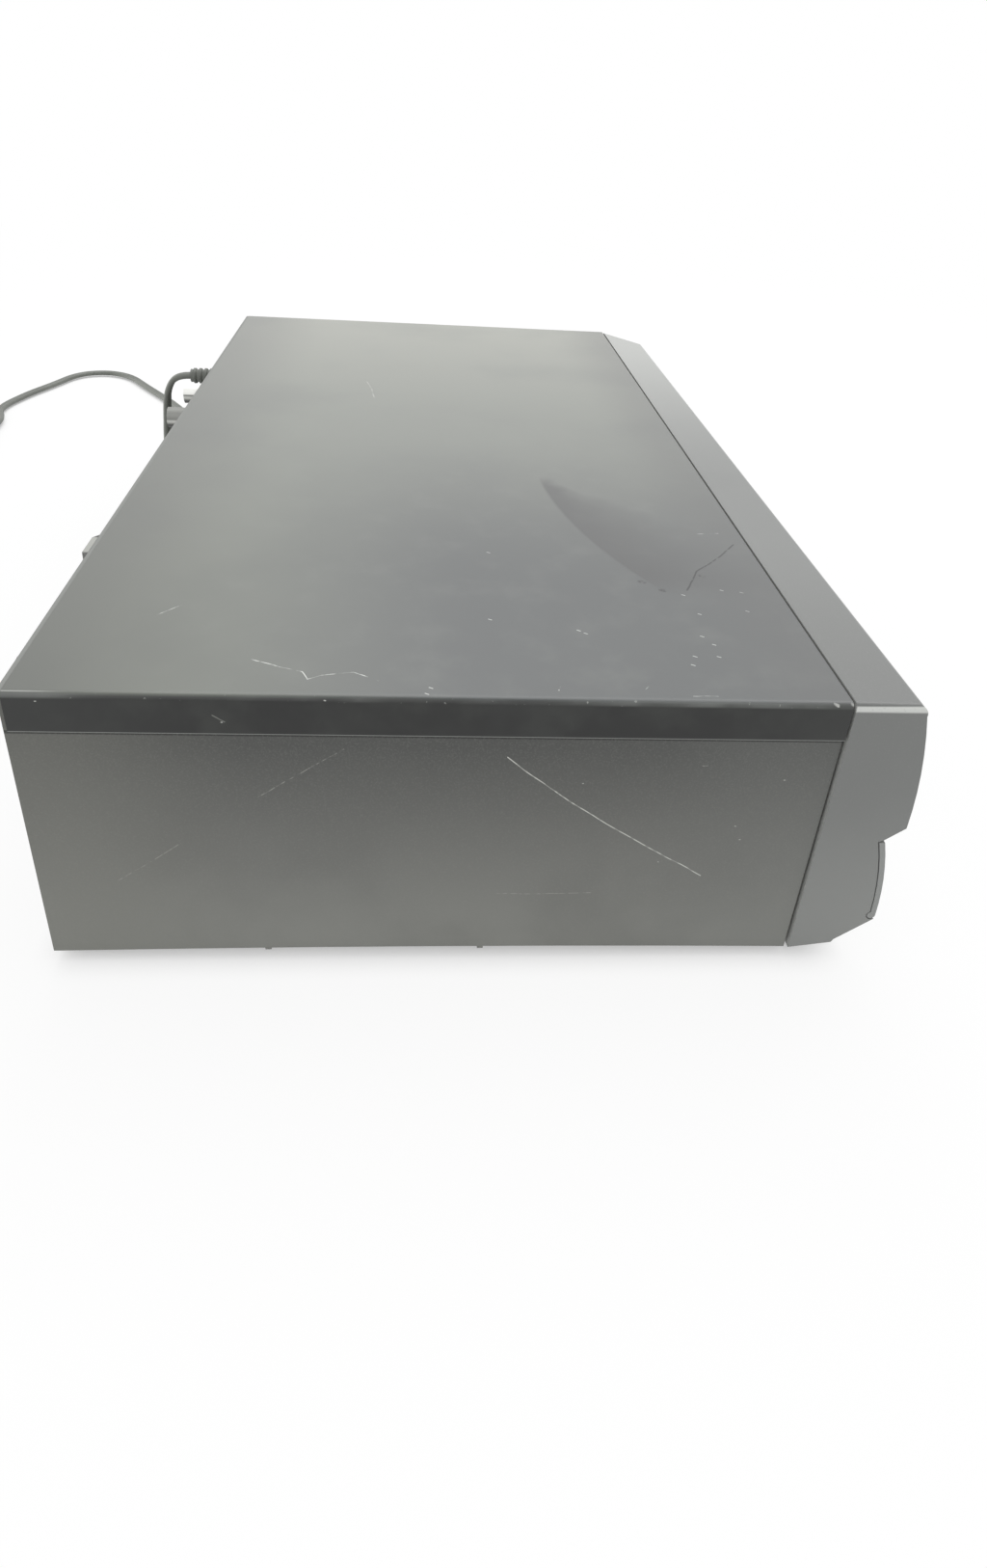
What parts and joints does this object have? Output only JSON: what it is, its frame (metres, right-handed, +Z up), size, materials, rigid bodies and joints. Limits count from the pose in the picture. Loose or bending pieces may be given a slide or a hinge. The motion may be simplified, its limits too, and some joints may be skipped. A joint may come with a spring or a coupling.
{
  "type": "video cassette recorder",
  "caption": "Full-width video cassette recorder with a bulging front, flap doors, buttons, a complete tape deck, rear sockets and a coiled mains cord.",
  "frame": {"origin": "middle of the floor area under the case, with its rear sockets and without its cord; Z = 0 is the surface that it stands on", "axes": "+X to the right seen from the front, +Y from the front to the back, +Z up"},
  "size_m": [0.6253, 0.5266, 0.0959],
  "materials": {
    "case_paint": "satin grey baked enamel",
    "case_plastic": "fine grained grey moulding",
    "front_plastic": "fine grained grey moulding",
    "button_plastic": "smooth grey moulding",
    "dark_window": "dark tinted clear plastic",
    "display_glass": "vacuum tube glass",
    "foot_rubber": "matte black",
    "cord_rubber": "satin dark grey",
    "plug_rubber": "satin dark grey",
    "roller_rubber": "matte black",
    "bright_steel": "zinc plated",
    "polished_steel": "polished",
    "nickel_plate": "nickel plated",
    "drum_aluminium": "turned and polished",
    "sink_aluminium": "plain extruded",
    "brass": "plain",
    "board_green": "coated laminate",
    "white_plastic": "plain moulding",
    "black_plastic": "plain moulding",
    "core_iron": "varnished laminations",
    "sleeve_plastic": "shrunk sleeve"
  },
  "bodies": {
    "case": {"top_cover": "case_paint", "cabinet": "case_plastic", "feet": "foot_rubber", "rear_screws": "bright_steel", "cover_clip": "bright_steel", "front_bezel": "front_plastic", "display_window": "dark_window", "control_board": "board_green", "display_tube": "display_glass", "front_jacks": "black_plastic", "antenna_sockets": "nickel_plate", "rf_block": "bright_steel", "rear_jacks": "black_plastic", "main_board": "board_green", "power_board": "board_green", "transformer": "core_iron", "heat_sink": "sink_aluminium", "capacitors": "sleeve_plastic", "strain_relief": "cord_rubber", "power_cord": "cord_rubber", "cord_coil": "cord_rubber", "cord_tie": "black_plastic", "plug_body": "plug_rubber", "plug_blades": "brass", "deck_chassis": "bright_steel", "drum_lower": "drum_aluminium", "capstan_motor": "bright_steel", "reel_belt": "roller_rubber", "loading_motor": "bright_steel", "erase_head": "black_plastic", "audio_head": "polished_steel", "side_frames": "bright_steel"},
    "control_door": {"control_door": "front_plastic"},
    "cassette_door": {"cassette_door": "front_plastic"},
    "power_button": {"power_button": "button_plastic"},
    "eject_button": {"eject_button": "button_plastic"},
    "rewind_button": {"rewind_button": "button_plastic"},
    "play_button": {"play_button": "button_plastic"},
    "fast_forward_button": {"fast_forward_button": "button_plastic"},
    "stop_button": {"stop_button": "button_plastic"},
    "pause_button": {"pause_button": "button_plastic"},
    "record_button": {"record_button": "button_plastic"},
    "channel_up_button": {"channel_up_button": "button_plastic"},
    "channel_down_button": {"channel_down_button": "button_plastic"},
    "drum_upper": {"drum_upper": "drum_aluminium"},
    "capstan": {"capstan": "polished_steel"},
    "clutch": {"clutch": "white_plastic"},
    "idler_arm": {"idler_arm": "bright_steel"},
    "idler_wheel": {"idler_wheel": "roller_rubber"},
    "supply_reel": {"supply_reel": "white_plastic"},
    "takeup_reel": {"takeup_reel": "white_plastic"},
    "pinch_arm": {"pinch_arm": "bright_steel"},
    "pinch_roller": {"pinch_roller": "roller_rubber"},
    "left_loading_arm": {"left_loading_arm": "white_plastic"},
    "right_loading_arm": {"right_loading_arm": "white_plastic"},
    "cam_gear": {"cam_gear": "white_plastic"},
    "worm": {"worm": "brass"},
    "tension_arm": {"tension_arm": "bright_steel"},
    "basket": {"basket": "bright_steel"},
    "slider": {"slider": "bright_steel"}
  },
  "joints": [
    {"name": "control_door_hinge", "type": "hinge", "parent": "case", "child": "control_door", "pos_m": [0, -0.13019, 0.0186], "axis": [1, 0, 0], "range_deg": [0, 90]},
    {"name": "cassette_door_hinge", "type": "hinge", "parent": "case", "child": "cassette_door", "pos_m": [-0.075, -0.12634, 0.08605], "axis": [1, 0, 0], "range_deg": [0, 80], "stiffness_Nm_per_rad": 0.003},
    {"name": "power_press", "type": "slide", "parent": "case", "child": "power_button", "axis": [0, 1, 0], "range_m": [0, 0.0012], "stiffness_N_per_m": 300},
    {"name": "eject_press", "type": "slide", "parent": "case", "child": "eject_button", "axis": [0, 1, 0], "range_m": [0, 0.0012], "stiffness_N_per_m": 300},
    {"name": "rewind_press", "type": "slide", "parent": "case", "child": "rewind_button", "axis": [0, 1, 0], "range_m": [0, 0.0012], "stiffness_N_per_m": 300},
    {"name": "play_press", "type": "slide", "parent": "case", "child": "play_button", "axis": [0, 1, 0], "range_m": [0, 0.0012], "stiffness_N_per_m": 300},
    {"name": "fast_forward_press", "type": "slide", "parent": "case", "child": "fast_forward_button", "axis": [0, 1, 0], "range_m": [0, 0.0012], "stiffness_N_per_m": 300},
    {"name": "stop_press", "type": "slide", "parent": "case", "child": "stop_button", "axis": [0, 1, 0], "range_m": [0, 0.0012], "stiffness_N_per_m": 300},
    {"name": "pause_press", "type": "slide", "parent": "case", "child": "pause_button", "axis": [0, 1, 0], "range_m": [0, 0.0012], "stiffness_N_per_m": 300},
    {"name": "record_press", "type": "slide", "parent": "case", "child": "record_button", "axis": [0, 1, 0], "range_m": [0, 0.0012], "stiffness_N_per_m": 300},
    {"name": "channel_up_press", "type": "slide", "parent": "case", "child": "channel_up_button", "axis": [0, 1, 0], "range_m": [0, 0.001], "stiffness_N_per_m": 300},
    {"name": "channel_down_press", "type": "slide", "parent": "case", "child": "channel_down_button", "axis": [0, 1, 0], "range_m": [0, 0.001], "stiffness_N_per_m": 300},
    {"name": "drum_spin", "type": "hinge", "parent": "case", "child": "drum_upper", "pos_m": [-0.075, 0.0619, 0.0545], "axis": [0, 0, 1], "continuous": true},
    {"name": "capstan_spin", "type": "hinge", "parent": "case", "child": "capstan", "pos_m": [-0.009, 0.0249, 0.03], "axis": [0, 0, 1], "continuous": true},
    {"name": "clutch_spin", "type": "hinge", "parent": "case", "child": "clutch", "pos_m": [-0.075, -0.0041, 0.03], "axis": [0, 0, 1], "continuous": true},
    {"name": "idler_swing", "type": "hinge", "parent": "case", "child": "idler_arm", "pos_m": [-0.075, -0.0041, 0.036], "axis": [0, 0, 1], "range_deg": [-24, 24]},
    {"name": "idler_spin", "type": "hinge", "parent": "idler_arm", "child": "idler_wheel", "pos_m": [-0.075, -0.0341, 0.033], "axis": [0, 0, 1], "continuous": true},
    {"name": "supply_spin", "type": "hinge", "parent": "case", "child": "supply_reel", "pos_m": [-0.121, -0.0301, 0.033], "axis": [0, 0, 1], "continuous": true},
    {"name": "takeup_spin", "type": "hinge", "parent": "case", "child": "takeup_reel", "pos_m": [-0.029, -0.0301, 0.033], "axis": [0, 0, 1], "continuous": true},
    {"name": "cam_turn", "type": "hinge", "parent": "case", "child": "cam_gear", "pos_m": [-0.10578, 0.06499, 0.022], "axis": [0, 0, 1], "range_deg": [0, 71.5]},
    {"name": "left_arm_load", "type": "hinge", "parent": "case", "child": "left_loading_arm", "pos_m": [-0.088, 0.0396, 0.026], "axis": [0, 0, 1], "range_deg": [-99.1, 0]},
    {"name": "right_arm_load", "type": "hinge", "parent": "case", "child": "right_loading_arm", "pos_m": [-0.062, 0.0396, 0.026], "axis": [0, 0, 1], "range_deg": [0, 99.1]},
    {"name": "pinch_swing", "type": "hinge", "parent": "case", "child": "pinch_arm", "pos_m": [0.007, 0.0349, 0.038], "axis": [0, 0, 1], "range_deg": [-25.1, 0]},
    {"name": "pinch_spin", "type": "hinge", "parent": "pinch_arm", "child": "pinch_roller", "pos_m": [-0.00118, 0.01104, 0.05], "axis": [0, 0, 1], "continuous": true},
    {"name": "worm_turn", "type": "hinge", "parent": "case", "child": "worm", "pos_m": [-0.12713, 0.06499, 0.022], "axis": [0, 1, 0], "range_deg": [0, 2580]},
    {"name": "tension_swing", "type": "hinge", "parent": "case", "child": "tension_arm", "pos_m": [-0.145, -0.0021, 0.036], "axis": [0, 0, 1], "range_deg": [-12, 20], "stiffness_Nm_per_rad": 0.01},
    {"name": "basket_in", "type": "slide", "parent": "case", "child": "slider", "axis": [0, 1, 0], "range_m": [0, 0.06]},
    {"name": "basket_drop", "type": "slide", "parent": "slider", "child": "basket", "axis": [0, 0, -1], "range_m": [0, 0.02]}
  ],
  "couplings": [
    {"joint": "left_arm_load", "follows": "cam_turn", "ratio": -1.3846},
    {"joint": "right_arm_load", "follows": "cam_turn", "ratio": 1.3846},
    {"joint": "pinch_swing", "follows": "cam_turn", "ratio": -0.34965},
    {"joint": "worm_turn", "follows": "cam_turn", "ratio": 36},
    {"joint": "clutch_spin", "follows": "capstan_spin", "ratio": 0.59459},
    {"joint": "idler_spin", "follows": "capstan_spin", "ratio": -0.76382}
  ]
}
